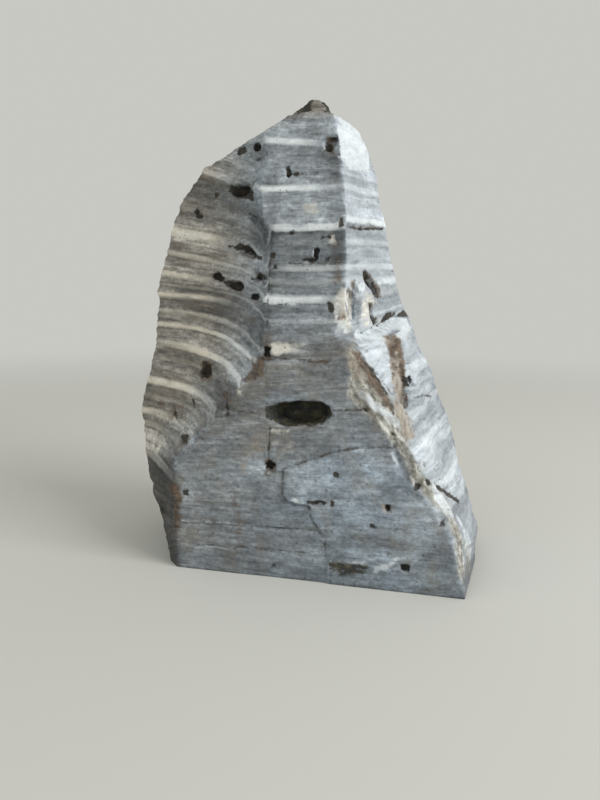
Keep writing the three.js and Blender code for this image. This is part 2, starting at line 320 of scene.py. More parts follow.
def depth_within(across, up, outline):
    """How deep each point lies within an outline drawn on a face. Outside it is less than nothing."""
    inside = np.zeros(len(across), dtype=bool)
    for (x0, z0), (x1, z1) in zip(outline, outline[1:] + outline[:1]):
        if z0 != z1:
            spans = (z0 > up) != (z1 > up)
            inside ^= spans & (across < x0 + (up - z0) * (x1 - x0) / (z1 - z0))
    distance = off_line(across, up, outline + outline[:1])
    return np.where(inside, distance, -distance)


MARK_MARGIN = 4                # how far outside its outline a mark may still reach


def covered(across, up, marks, wander, soft):
    """How strongly any of some marks covers each point. A mark is its strength and its outline."""
    cover = np.zeros_like(across)
    for strength, outline in marks:
        left, low = np.min(outline, axis=0) - MARK_MARGIN
        right, high = np.max(outline, axis=0) + MARK_MARGIN
        near = np.flatnonzero((across > left) & (across < right) & (up > low) & (up < high))
        depth = depth_within(across[near], up[near], outline) + wander[near]
        cover[near] = np.maximum(cover[near], strength * ramp(depth, -soft, soft))
    return cover


# Pits seen from in front, where soft grains have weathered out and dirt has stayed: how deep each has been
# eaten on, and its outline. The dark fill of the slit under the step in the sawn face is painted shadow.
FRONT_PITS_AND_SHADOWS = [
    (1.2, [(-35, 158.5), (-33.5, 160.2), (-24, 160), (-21, 157.5), (-20.5, 153.5), (-22.5, 153), (-26, 155),
           (-31, 155.5)]),
    (1, [(-36, 135.2), (-30, 134.8), (-28, 136), (-22.5, 134.5), (-19, 131.5), (-15, 129.8), (-15, 128),
         (-22, 130), (-27.5, 133), (-31, 133.8)]),
    (0.9, [(-42, 121.5), (-40, 123.8), (-38, 123.3), (-35.5, 121), (-36.5, 119.3), (-40, 120.2)]),
    (0.9, [(-36.5, 120), (-31.5, 119.8), (-27, 119.6), (-24.5, 118.4), (-23.2, 116.2), (-25, 115.4),
           (-29, 116.2), (-34, 117.6)]),
    (0.8, [(-23.5, 120.6), (-18, 121.2), (-17, 123), (-14.3, 123.2), (-11.3, 121.4), (-11.5, 120.3),
           (-17, 120.2)]),
    (0.7, [(-19.5, 112.2), (-19, 114.4), (-16, 114.8), (-15, 113.5), (-15.5, 112.2)]),
    (0.8, [(-51.8, 147.5), (-51.9, 151.6), (-50.4, 151.8), (-50.2, 148.9), (-47.5, 148.4), (-47.5, 147.2)]),
    (0.6, [(-41.8, 156), (-41.5, 158), (-40, 158), (-40, 156)]),
    (0.8, [(-30.5, 172.6), (-29, 175.8), (-26, 176.4), (-25.5, 174), (-27.5, 172.6)]),
    (0.6, [(-21.6, 173.6), (-21.4, 176.4), (-19.4, 176.2), (-19.4, 174.2)]),
    (0.5, [(-21, 169.2), (-20.6, 170.8), (-17.2, 170.6), (-17.4, 169)]),
    (0.8, [(-6.3, 162.2), (-6.2, 165.4), (-5, 166.6), (-4.2, 163.8), (-1, 163.2), (-1, 162.2)]),
    (1, [(8, 129.2), (8.2, 132.6), (9.6, 132.6), (9.8, 129.6), (10.6, 128.4), (8.5, 127.6), (3, 127.9),
         (3, 128.7)]),
    (0.6, [(12.6, 127.8), (12.8, 129.4), (14.6, 129.4), (14.6, 127.8)]),
    (0.8, [(11.4, 175.8), (12, 177.8), (14.6, 177.6), (14.8, 175.6)]),
    (0.7, [(9.5, 172), (9.8, 175.4), (11.6, 175.6), (13.2, 173), (12, 171.4)]),
    (0.6, [(-10.8, 128.8), (-10.6, 131), (-8.6, 131), (-8.4, 129)]),
    (0.6, [(-9.2, 124.6), (-8.8, 126.8), (-7.2, 126.6), (-7.2, 124.6)]),
    (0.5, [(-3.2, 138.6), (-2.8, 139.8), (-1.2, 139.8), (-1.2, 138.7)]),
    (0.5, [(10.4, 136.8), (10.6, 138.2), (14.4, 138.2), (14.4, 137)]),
    (0.6, [(17.4, 141), (17.6, 145), (19.2, 145), (19.4, 141.4)]),
    (0.5, [(15.4, 107.6), (15.2, 111.8), (17.4, 111.4), (17.6, 108)]),
    (1.4, [(-10.6, 90), (-10.4, 93.6), (-7.6, 93.6), (-7.4, 90)]),
    (1, [(-44.6, 80), (-43, 84), (-40.8, 85), (-38.4, 83.6), (-37.5, 80), (-38.6, 77.4), (-43.4, 78)]),
    (0.7, [(-50, 53.2), (-47, 54.8), (-44.2, 54.4), (-43.4, 51.4), (-46.5, 50.8)]),
    (0.6, [(-26, 64.6), (-25.8, 69.8), (-23.8, 69.8), (-24, 65)]),
    (0.5, [(-48, 68.6), (-46.6, 69.2), (-44, 65.4), (-44.6, 64.2)]),
    (0.5, [(-58, 62), (-56.6, 62.4), (-53.6, 59), (-54.4, 58.2)]),
    (0.5, [(-8, 44.4), (-7.8, 46.8), (-6, 47.2), (-5, 46), (-5.4, 44.2)]),
    # The slit under the step's edge: its dark fill is painted shadow.
    (0.9, [(9.6, 31.6), (10, 32.9), (18.6, 33.3), (18.4, 31.8)]),
    (0.5, [(19.8, 31.6), (20, 33.8), (21.2, 33.6), (21.2, 31.6)]),
    (0.6, [(20.2, 43.3), (20.3, 45), (22.3, 45), (22.3, 43.3)]),
    (0.6, [(35.4, 24.2), (35.5, 25.8), (38, 25.8), (38, 24.2)]),
    (1, [(48.8, 8.6), (48.9, 10.8), (51.8, 10.8), (51.8, 8.6)]),
    (0.4, [(41.8, 13.2), (42, 15), (43.8, 15), (43.8, 13.2)]),
    (0.6, [(-4, 4.2), (-3.8, 6.2), (-2, 6.2), (-2, 4.2)]),
    (0.6, [(41.4, 32), (41.6, 34), (43.4, 34), (43.4, 32)]),
    (0.6, [(63, 27.4), (63.1, 29.6), (64.6, 29.6), (64.4, 27.4)]),
    (0.7, [(56.5, 42.4), (56.5, 44.6), (58.4, 44.2), (58.4, 42.3)]),
    (0.6, [(52.6, 40.6), (52.4, 42.4), (54.6, 42.4), (54.4, 40.6)]),
    (0.5, [(-43.6, 31), (-43.4, 33.2), (-41.2, 33), (-41, 31)]),
    (0.8, [(43.6, 82), (46.8, 81.8), (47.4, 78.2), (44.4, 78)]),
]
# The same, seen from the right: each place is how far back it lies from the middle, and its height.
RIGHT_PITS_AND_SHADOWS = [
    (1.2, [(-19.5, 125), (-15, 124.3), (-4.5, 118.5), (-1.8, 114.2), (-5.5, 113.2), (-9, 115.5),
           (-14.5, 119), (-18.5, 122.5)]),
    (0.9, [(-15.6, 111.4), (-12.4, 111.4), (-12.6, 106.6), (-7.5, 103.6), (-10.5, 101.2), (-13.4, 102.2),
           (-15.8, 106.8)]),
    # These two follow the crevice under the overhanging ledge: their dark fill is partly dirt, partly painted
    # shadow.
    (0.9, [(-3, 105), (4, 107.6), (15.5, 106.6), (10, 104), (-5.5, 101.8)]),
    (0.9, [(26.5, 108), (33.5, 107.6), (33, 104.4), (18, 105)]),
    (0.8, [(-38, 42.6), (-33, 39.2), (-25, 34.6), (-15, 29.6), (-15.3, 28), (-26, 32.8), (-34, 37),
           (-38.3, 40.6)]),
]
# The big cavity in the sawn front, and how deep it has been eaten on.
CAVITY = [
    (0.6, [(-8.8, 65), (-8.4, 69.2), (-4.4, 71), (4, 72.4), (14, 72.8), (18, 71), (18.8, 68), (15.6, 64.6),
           (11.4, 63), (0, 62.4), (-4, 63.4)]),
]
# Cracks and open joints seen from in front: how deep each is, and its way. Along the step in the sawn face
# the dark line is painted shadow.
FRONT_CRACKS_AND_SHADOW_LINES = [
    (0.3, [(-30, 150.5), (-26, 149.5), (-20, 146.5), (-14, 142), (-10.5, 140.3)]),
    (0.5, [(-6.4, 61), (-6.8, 52), (-6, 46)]),
    (0.45, [(0, 45), (12, 50), (20, 53.2), (30, 55.6), (44, 56.6)]),
    (0.5, [(19, 69.6), (32, 70.6)]),
    (0.4, [(-11, 88.6), (2, 89.2), (14, 88.4), (27, 90)]),
    (0.3, [(-9, 162.7), (15, 162.8)]),
    (0.4, [(-2, 127), (19, 127)]),
    (0.3, [(21, 24.4), (36, 24.6), (50, 24.8)]),
    (0.3, [(-52, 61), (-44, 59), (-35, 55)]),
    (0.4, [(-44, 19), (-20, 20.2), (14, 21)]),
    (0.38, [(-40, 10.4), (-20, 11), (12, 11.4)]),
    (0.38, [(-31, 67.6), (-12, 66.8)]),
    (0.3, [(-16, 138.7), (2, 139.3), (17, 139.5)]),
    # The step in the sawn face: a shallow groove whose dark line is painted shadow.
    (0.4, [(-0.5, 44), (-0.4, 34), (3, 30.6), (11, 30.4), (11.6, 26.5), (15, 21.5), (18, 16.5), (18.4, 11),
           (20.5, 8), (21, 0)]),
    (0.3, [(-20, 88), (-12, 84)]),
    (0.4, [(-10.5, 139), (-9.8, 95)]),
    (0.5, [(29.7, 90.4), (34.6, 84.3), (39.6, 76.7), (42.7, 69.9)]),
    (0.3, [(43, 62), (46.1, 59.5), (46.9, 54.4)]),
]
# Cracks seen from the right.
RIGHT_CRACKS = [
    (0.7, [(-29, 141.6), (-11.5, 142.2), (18, 144.6)]),
    (0.5, [(-24, 74), (-5.5, 72.5), (19, 68.5)]),
    (0.3, [(-27, 65.4), (-10, 65.6), (25, 64.6)]),
]
# The broken bevel between the sawn front and the right face, seen from in front.
BROKEN_EDGE = [
    (1, [(23, 93), (25.5, 85), (24.5, 76), (30, 71), (37.5, 65), (44, 57), (48.5, 49.5), (51.5, 43.5),
         (58.5, 37), (64.5, 31), (69, 22), (70.5, 9), (75.5, 4), (75, 14.5), (70, 27), (64, 37.5),
         (56.5, 44.5), (49, 57.5), (44.5, 70.5), (39.5, 76.5), (34, 84), (25.5, 96)]),
]


def eased_facings(mesh, rounds):
    """The way that the surface faces at every point, with the small relief evened out."""
    even = eased(facings_of(mesh), mesh, rounds)
    return even / np.linalg.norm(even, axis=1)[:, None]


def along_bevel(places):
    """Every point measured across the broken bevel, down it, and in."""
    x, y, z = places.T
    return np.column_stack([0.87 * x + 0.49 * z, 0.49 * x - 0.87 * z, y])


def ragged_edge(places):
    """How far, in millimetres, the edge of a mark wanders from its outline."""
    return 0.7 * uneven(places, (1.9, 1.9, 1.9), 7)


def standing_out(places, mesh, even, rounds):
    """How far each point stands out from the eased shape of the stone. In a hollow that is negative."""
    return np.einsum("ij,ij->i", places - eased(places, mesh, rounds), even)


# Slow swells, blocky breaks and the grain itself: how high each is on an even face, how much higher on a
# rough one, how wide, its seed, and its octaves.
SWELLS = [
    (0.12, 0.5, (15, 15, 12), 3, 2),
    (0.03, 0.3, (4.2, 4.2, 2.8), 4, 2),
    (0.03, 0.13, (1.5, 1.5, 1.2), 5, 1),
]
BACK_PIT_DEPTH = 0.9
CHIP_DEPTH = 1.3
SPLINTER_HEIGHT = 1.2
SPLINTER_SIZE = (2.6, 12, 5)
BEVEL_LOSS = 0.3               # how much lower the torn bevel lies than the clean break
CRACK_WIDTH = (0.25, 1)        # half of it, at the bottom and at the lips
SOLE = 0.35                    # what lies lower than this is the sawn sole, and stays flat
BOX_MARGIN = 0.03              # how far the finished stone keeps inside the box of the rough one


def weather(mesh):
    """Gives the fine surface its relief: beds, ledges, chips, pits and cracks."""
    places, even = places_of(mesh), eased_facings(mesh, 6)
    zone = zones_of(places, even)
    x, y, z = places.T
    bed = bed_of(places, zone["right"])
    unfolded = np.column_stack([x, y, bed])
    rough = 1 - np.maximum(zone["sawn"], np.maximum(0.8 * zone["split"], 0.6 * zone["right"]))

    # Beds stand out in low ribs, broader on the split and weathered faces.
    ledges = np.tanh(2.6 * uneven(unfolded, (46, 46, 3.4), 1))
    leaves = uneven(unfolded, (24, 24, 0.9), 2)
    lift = rough * (0.42 + 0.35 * zone["back"]) * ledges
    lift += (0.07 + 0.22 * rough + 0.12 * zone["right"]) * leaves
    pale = pale_bed(bed) * pale_strength(bed, x, zone["right"], zone["back"])
    lift += (0.16 + 0.26 * rough) * (1 - 0.9 * zone["sawn"]) * pale
    for height, more, size, seed, octaves in SWELLS:
        lift += (height + more * rough) * uneven(places, size, seed, octaves)
    lift -= BACK_PIT_DEPTH * eaten(places, zone["back"])

    # Edges are chipped and rounded, most where the noise lets go.
    edge = ramp(standing_out(places, mesh, even, 18), 0.12, 0.9)
    lift -= CHIP_DEPTH * edge * ramp(uneven(places, (7, 7, 5), 6), -0.2, 0.55)

    wander = ragged_edge(places)
    from_front, from_right = seen_from(places, even)
    for pits_and_shadows, cracks_and_shadow_lines, across, seen in ((FRONT_PITS_AND_SHADOWS + CAVITY, FRONT_CRACKS_AND_SHADOW_LINES, x, from_front),
                                       (RIGHT_PITS_AND_SHADOWS, RIGHT_CRACKS, y, from_right)):
        lift -= seen * covered(across, z, pits_and_shadows, wander, 0.8)
        for depth, way in cracks_and_shadow_lines:
            lift -= seen * depth * (1 - ramp(off_line(across, z, way) + wander, *CRACK_WIDTH))
    broken = from_front * covered(x, z, BROKEN_EDGE, wander, 1)
    lift += broken * (SPLINTER_HEIGHT * uneven(along_bevel(places), SPLINTER_SIZE, 11) - BEVEL_LOSS)

    # The relief dies out towards the sole, and nothing passes the box of the rough stone.
    moved = places + even * (lift * ramp(z, 0.3, 4))[:, None]
    low, high = np.array(cad_low) / MM + BOX_MARGIN, np.array(cad_high) / MM - BOX_MARGIN
    low[2] = 0
    moved = np.clip(moved, low, high)
    moved[z < SOLE, 2] = 0
    mesh.vertices.foreach_set("co", (moved * MM).ravel())
    mesh.update()


MOST_TRIANGLES = 195000

weather(block.data)
thinned = block.modifiers.new("flat parts thinned", "DECIMATE")
thinned.ratio = min(1, MOST_TRIANGLES / (2 * len(block.data.polygons)))
settle(block)
for polygon in block.data.polygons:
    polygon.use_smooth = True
for vertex in block.data.vertices:
    vertex.co.z = max(vertex.co.z, 0)


def keep(mesh, name, values):
    """Keeps a value for each point on the mesh, for the material to read."""
    kind = "FLOAT" if values.ndim == 1 else "FLOAT_VECTOR"
    kept = mesh.attributes.new(name, kind, "POINT")
    kept.data.foreach_set("value" if values.ndim == 1 else "vector", values.astype(np.float32).ravel())


# How light the beds are on each face, against the ground colour: a bed and its lightness.
BED_TONES = {
    "sawn": [
        (11, 0.47), (14, 0.5), (16, 0.57), (18, 0.73), (20, 0.84), (22, 0.6), (24, 0.74), (27, 0.73),
        (31, 0.88), (34, 0.74), (38, 0.75), (42, 0.66), (52, 0.66), (56, 0.6), (63, 0.64)],
    "split": [
        (60, 0.63), (62, 0.76), (64, 0.53), (65.5, 0.76), (68, 0.75), (70, 0.75), (71, 0.38), (72.3, 0.66),
        (73.4, 0.48), (74.2, 0.42), (75.5, 0.42), (78, 0.36), (79.1, 1.45), (82.8, 1.4), (83.8, 1.1),
        (85.4, 0.84), (88, 0.9), (90.3, 0.7), (92.2, 1.25), (94, 1.25), (95.5, 0.95)],
    "flank": [
        (28, 0.44), (34.5, 0.42), (36, 0.8), (39, 0.9), (41, 0.7), (43.5, 1.05), (45.5, 0.62), (48, 1.1),
        (49.5, 0.84), (51.5, 0.52), (53, 0.64), (55, 1.1), (57.5, 1.08), (60, 0.74), (61.5, 0.42),
        (62.9, 0.45), (65, 0.56), (68, 0.78), (70, 0.95), (72, 0.72), (74, 1.3), (76, 1.1), (77.5, 0.62),
        (79, 0.44), (82.5, 0.46), (84.5, 0.9), (87, 0.95), (90, 0.85)],
}
# The same on the right face, by the height of the bed at the front corner.
RIGHT_TONES = [
    (9, 0.2), (11, 0.3), (13, 0.55), (19, 0.7), (25, 0.76), (29, 0.68), (31, 0.52), (33, 0.85), (38, 1.05),
    (43, 1.08), (46, 0.72), (49, 0.76), (52, 0.92), (55, 0.9), (57, 1.08), (58.6, 1.2), (60, 0.82), (65, 0.6),
    (69, 0.84), (75, 0.76), (81, 0.76), (85, 1.02), (88, 0.78), (94, 0.85), (99, 0.6), (104, 0.9),
    (112, 0.66), (119, 0.88), (121, 0.7), (126, 0.87), (135, 0.67), (139, 0.73), (143.6, 0.56), (144.4, 1.1),
    (148, 1.02), (158, 1.03), (165, 0.9), (168, 1), (178, 1.05),
]
# Patches that are lighter or darker than their beds: how much, and the outline. Some in front are painted
# shade and shadow.
FRONT_SHADES = [
    # Painted shade on the undercut lower left side, which faces down and away from the lights.
    (-0.6, [(-80, 38), (-49.5, 45), (-45, 38), (-44, -2), (-60, -2), (-80, 20)]),
    (-0.25, [(-70, 24), (-50, 30), (-46, -2), (-62, -2)]),
    (-0.35, [(38.5, 97.5), (41.5, 97), (44, 87.5), (44, 82), (42, 83.5), (40, 91)]),
    (0.25, [(27.5, 97), (34, 99), (36.5, 92), (38.5, 89.5), (40, 79), (40, 77), (36, 83), (31.5, 89)]),
    # Painted shadow along the left of the step, cast by the raised part of the sawn face.
    (-0.3, [(-0.5, 44), (-0.5, 34), (3, 31), (11, 31), (11.6, 26.5), (15, 21.5), (8, 22), (-3, 33)]),
    (-0.25, [(10, 94), (18, 100), (24, 96), (23, 91), (12, 90)]),
    (-0.2, [(-24, 150), (-16, 146), (-10, 139), (-10, 132), (-22, 136)]),
    (0.2, [(45, 9.5), (75, 10), (76, 2), (40, 1)]),
    (-0.3, [(4, 192), (13, 189), (13, 186), (8, 187)]),
    (-0.3, [(-14, 165), (-9, 165), (-7.5, 94), (-13, 94)]),
    (-0.22, [(10, 178), (15, 178), (21.5, 112), (16, 112)]),
    (-0.25, [(15, 143), (18.6, 143), (21, 117), (17.4, 117)]),
    (-0.3, [(56, 15.5), (70, 15), (70, 10.5), (56, 10.5)]),
    (-0.42, [(42.6, 56.4), (45.4, 57), (50.4, 49), (52.6, 44), (50.4, 43), (46.4, 47.6)]),
    (-0.3, [(-34, 80), (-22, 77), (-19, 70), (-27, 66), (-35, 72)]),
    (-0.3, [(-42, 57), (-32, 68), (-20, 77), (-13, 73), (-23, 61), (-36, 52)]),
    (-0.14, [(-24, 34), (-2, 34), (3, 30), (12, 22), (18, 10), (19, 2), (-24, 2)]),
    (0.14, [(0, 43), (20, 52), (46, 44), (58, 24), (60, 12), (24, 12), (14, 28)]),
    (0.15, [(4, 56), (30, 58), (42, 46), (34, 36), (2, 37)]),
]
RIGHT_SHADES = [
    (-0.35, [(-28, 113.5), (-24, 113.5), (-26, 99.5), (-28.5, 99)]),
    (-0.4, [(-31.5, 121), (-26.5, 120.5), (-23.5, 116.5), (-25, 114.5), (-31.5, 117)]),
    (-0.12, [(1, 119), (28.5, 120.5), (32.5, 108.5), (-3, 106), (-9, 111)]),
]
# Stains and bare patches: how strong each is, and its outline, in front and on the right face.
FRONT_RUST = [
    (1, [(-50, 33.5), (-48.6, 36), (-46.5, 35.5), (-44, 31), (-43.8, 28), (-45, 27.2), (-46.5, 29.5),
         (-48.8, 31)]),
    (0.55, [(-48.6, 29), (-43.6, 29), (-43.6, 15), (-48, 14)]),
    (0.7, [(-17.5, 88), (-10, 90), (-10, 82), (-14, 80), (-20, 77), (-20, 80), (-15, 84)]),
    (0.75, [(-45.6, 80), (-43.5, 85), (-40, 86), (-37.2, 84), (-36.5, 79), (-38.5, 76.5), (-44, 77)]),
    (0.5, [(-30.5, 80), (-24.5, 76), (-22, 70), (-26, 68), (-31, 76)]),
    (0.8, [(-10.8, 88.6), (-10.6, 94), (-7.4, 94), (-7, 89)]),
    (0.5, [(8.5, 90), (18, 90), (17.5, 87), (9.5, 86.5)]),
    (0.8, [(25.4, 92.8), (28.6, 92.6), (32.1, 87.6), (37.1, 80.7), (41.3, 73.5), (42.8, 69.8), (40.8, 70.6),
           (35.9, 77.3), (32.6, 81), (30, 85), (27, 90)]),
    (0.5, [(20, 109.8), (22.4, 108.6), (22, 105), (19.8, 105.4)]),
    (0.6, [(9, 172), (9.5, 178), (15, 178), (14, 170)]),
    (0.9, [(-31, 156), (-31, 158.5), (-24, 158.5), (-23, 155.5)]),
    (0.8, [(-8.6, 42), (-8.4, 49), (-4, 49), (-3.6, 43)]),
    (0.6, [(-7.8, 41), (-7.6, 42.6), (-5.2, 42.6), (-5.2, 41)]),
    (0.5, [(-51, 53.6), (-47, 55.2), (-42.4, 54.6), (-42.4, 50.6), (-47, 50)]),
    (0.5, [(51, 53), (55.5, 50.8), (56, 49), (51.5, 50.8)]),
    (0.3, [(15, 137), (18.6, 137), (20.4, 119), (16.4, 119)]),
    (0.35, [(-23, 35), (-17, 34), (-15, 8), (-20, 8)]),
    (0.35, [(-70, 65), (-50, 66), (-46, 58), (-62, 57)]),
    (0.62, [(35.4, 98), (38.6, 98), (41, 89), (42, 84), (40, 81), (37.6, 91)]),
    (0.9, [(38.5, 97.8), (41.7, 97.4), (44.2, 88), (45.4, 80), (46.6, 72), (45.6, 72), (44, 80), (42.4, 84),
           (41, 91), (38.5, 95)]),
]
FRONT_TAN = [
    (0.5, [(39.5, 35), (44.5, 35), (45, 31.5), (40, 31)]),
    (0.85, [(34.5, 98), (41.5, 98), (44, 88), (45, 82.5), (45.4, 73), (47.5, 70), (51, 60), (48, 58.5),
            (45.5, 65), (42, 75), (40, 81), (37.5, 92)]),
    (0.6, [(23, 93), (28, 93), (33, 84), (30, 80), (25, 85)]),
    (0.5, [(19.6, 111), (22.6, 109.6), (22.4, 104.6), (19.6, 105)]),
    (0.3, [(-20, 36), (-10, 48), (-3, 60), (-12, 60), (-18, 48)]),
]
RIGHT_RUST = [
    (0.7, [(-31.8, 121.5), (-26.5, 121), (-27.5, 117), (-31, 117.4)]),
    (0.45, [(-38, 109), (-36, 109.8), (-35.6, 105.4), (-37.6, 105.6)]),
    (0.6, [(-21.5, 126), (-15, 125.3), (-2, 118.5), (-0.5, 113), (-9, 114)]),
    (0.55, [(-16.5, 112), (-11.5, 112), (-11.6, 106.6), (-6.5, 103.6), (-10.5, 100.4), (-14.4, 102)]),
    (0.6, [(-4, 105), (4, 108.4), (16, 107.4), (10, 103.4), (-6, 101.4)]),
    (0.5, [(-29.5, 142.8), (18, 145.2), (18, 143.8), (-29, 140.8)]),
]
FRONT_MOSS = [
    (0.72, [(20.5, 8.4), (22, 9.8), (35, 9.4), (37, 7), (31, 4.4), (24, 4), (21, 5)]),
    (0.9, [(-5, 190), (-2, 194), (2, 194), (2, 189), (-3, 187)]),
    (0.8, [(6, 194), (13, 190), (13, 186), (8, 188)]),
]
FRONT_CREAM = [
    (0.7, [(-8, 59.6), (-6, 61), (3, 61), (2, 59.6), (-5, 58.4)]),
    (0.75, [(-21.8, 76), (-18.2, 76.2), (-17.8, 73.8), (-21.2, 73.6)]),
    (0.72, [(-8, 91), (-7.5, 95), (0, 95.4), (8, 96.2), (3, 92.6), (-4, 90.6)]),
    (1, [(-8, 91.6), (-7.8, 94.8), (0, 95), (2, 93.4), (-2, 91.4)]),
    (0.8, [(-62, 142.4), (-46, 140.6), (-44, 138), (-62, 137.6)]),
    (0.62, [(-77.5, 52), (-62, 51), (-56, 47), (-62, 46), (-76, 45.5)]),
    (0.9, [(-76, 44.5), (-62, 45.2), (-63, 43.4), (-76, 41.6)]),
    (0.2, [(-6, 57), (4, 57), (3, 50), (-4, 49)]),
    (0.8, [(16.6, 110.3), (18.6, 116.4), (20.3, 118), (23.4, 118), (23.6, 106), (23.8, 100), (21.5, 100),
           (19.6, 103), (18.4, 107)]),
    (0.9, [(14.3, 135.4), (14.3, 138.6), (16.3, 138.6), (16.3, 135.4)]),
    (0.4, [(2, 151), (8, 152), (9, 146), (3, 145)]),
    (0.6, [(40, 81), (43.5, 80), (44.5, 74), (42.5, 74.5)]),
]
RIGHT_CREAM = [
    (0.6, [(-18.5, 116.5), (-10.5, 114.5), (-6, 111), (-18, 111.5)]),
    (0.8, [(-36.5, 116), (-28.5, 114), (-32.5, 103.5), (-36.5, 103), (-38, 108)]),
    (0.6, [(-23, 114), (-13, 114), (-17.5, 102.5), (-23.5, 100)]),
]
# Freshly bruised patches, almost white, and some painted highlights on lit edges and ledge tops.
FRONT_BRUISES_AND_HIGHLIGHTS = [
    # A painted highlight along the lit lower edge of the step in the sawn face.
    (0.8, [(3.2, 31.8), (3.4, 33.4), (9, 33.2), (9, 31.6)]),
    (0.62, [(27.8, 77.7), (30.5, 78.6), (33.8, 76.4), (37.7, 73.2), (41.6, 70.2), (45.5, 67), (47.5, 63.6),
            (45.8, 62.6), (42.7, 65), (38, 68.8), (33.1, 72.4), (29.1, 75.4)]),
    (0.55, [(16.6, 110.3), (18.4, 107), (19.6, 103), (21.5, 100), (23.4, 100), (22, 105), (20, 109),
            (19, 114)]),
    (0.72, [(58.5, 42), (60.5, 42), (68.5, 29.5), (66, 29.5), (60, 36.5)]),
    (0.52, [(70.6, 28), (72.4, 27), (75, 16), (73.4, 9), (72, 13), (71.2, 20)]),
    (0.7, [(32.5, 89), (33, 92.5), (35, 96), (36.4, 92.5), (34, 88.6)]),
    (0.6, [(38.5, 6.4), (46, 10.4), (48, 14.6), (45, 12.5), (38, 8.6)]),
    (0.6, [(20, 10.4), (33.5, 10.6), (34.5, 9.2), (20, 9)]),
    (0.5, [(-44, 20.4), (-18, 21.6), (-18, 20.4), (-44, 19.4)]),
]
RIGHT_BRUISES_AND_HIGHLIGHTS = [
    (1, [(-30, 192), (14, 192), (12, 178), (6, 168), (-16, 165.5), (-27, 169)]),
    (0.85, [(-24, 145.4), (13.5, 147.9), (17, 146.8), (-24, 143.8)]),
    (0.95, [(-25, 119.6), (-16, 120), (-17.8, 116.6), (-24.5, 116.4)]),
    (0.75, [(-3, 121.8), (28, 123.2), (28.5, 120.6), (-5, 119.4)]),
    (0.7, [(-35, 55.8), (-31, 58), (-25, 59.5), (-3, 58), (11, 57.2), (-3, 55.8), (-30, 55)]),
    (0.7, [(-36, 42.6), (-20, 42.4), (-4, 41.4), (14, 39.6), (-6, 38), (-30, 39.4)]),
    (0.5, [(-12, 86), (36, 86.4), (36, 84), (-12, 83.6)]),
    (0.48, [(-35, 29), (-29, 27.5), (-26, 20), (-27, 12), (-31, 9), (-34, 16)]),
    # A painted highlight on the up-facing top of the ledge, below its crevice.
    (0.8, [(-33, 97.5), (-27, 101.4), (-12, 103), (8, 105), (24, 104.4), (26, 98.4), (8, 97.4), (-12, 96.4)]),
]


# The knob on top is darker and more weathered than the rest: where it starts, and where it is fully so.
KNOB = (185, 189)
TONE_SPREAD = 0.22             # how much the tone swells and fades from place to place
TONE_CLOUDS = (22, 22, 15)
UNPLACED = 0.15                # the tone, and its weight, of a point that belongs to no face
# Crack dirt also draws the painted shadow line along the step.
CRACK_DIRT_AND_SHADOW = 1.3
HOLLOW_DIRT = 0.8
# The cavity's moss also stands for painted shade inside it.
CAVITY_MOSS_AND_SHADE = 1.7
# Rubbed edges are partly wear and partly painted highlight.
RUBBED_WHITE_AND_HIGHLIGHT = 0.3             # how white a standing edge is rubbed


def tone_of(places, zone, loose, level):
    """The lightness of each point's bed, on the face that it belongs to."""
    tone, weight = np.full(len(places), UNPLACED), np.full(len(places), UNPLACED)
    for name, tones in BED_TONES.items():
        tone += zone[name] * np.interp(loose, *np.array(tones).T)
        weight += zone[name]
    tone += zone["right"] * np.interp(level, *np.array(RIGHT_TONES).T)
    weight += zone["right"]
    tone /= weight
    tone *= 1 + TONE_SPREAD * uneven(places, TONE_CLOUDS, 10)
    return tone * (1 - 0.5 * ramp(places[:, 2], *KNOB))


def weathering_of(places, even, zone):
    """How weathered each point is: most on the outer flank, the back and the ledges, least low in front."""
    x, _, z = places.T
    warm_front = 0.1 + 0.3 * ramp(-x, -20, 40) + 0.35 * ramp(z, 30, 85)
    warm_front += 0.3 * uneven(places, (22, 22, 9), 12)
    by_crest = 0.3 + 0.35 * (1 - ramp(z, 60, 90))
    outward = ramp(left_of_crest(x, z), 0, 36)
    weathered = zone["flank"] * (by_crest + (1 - by_crest) * outward) + 0.8 * zone["back"]
    weathered += zone["sawn"] * warm_front + 0.35 * zone["split"]
    weathered = np.maximum(weathered, 0.8 * ramp(even[:, 2], 0.5, 0.8) * (1 - zone["right"]))
    return np.maximum(weathered, ramp(z, 184, 188))


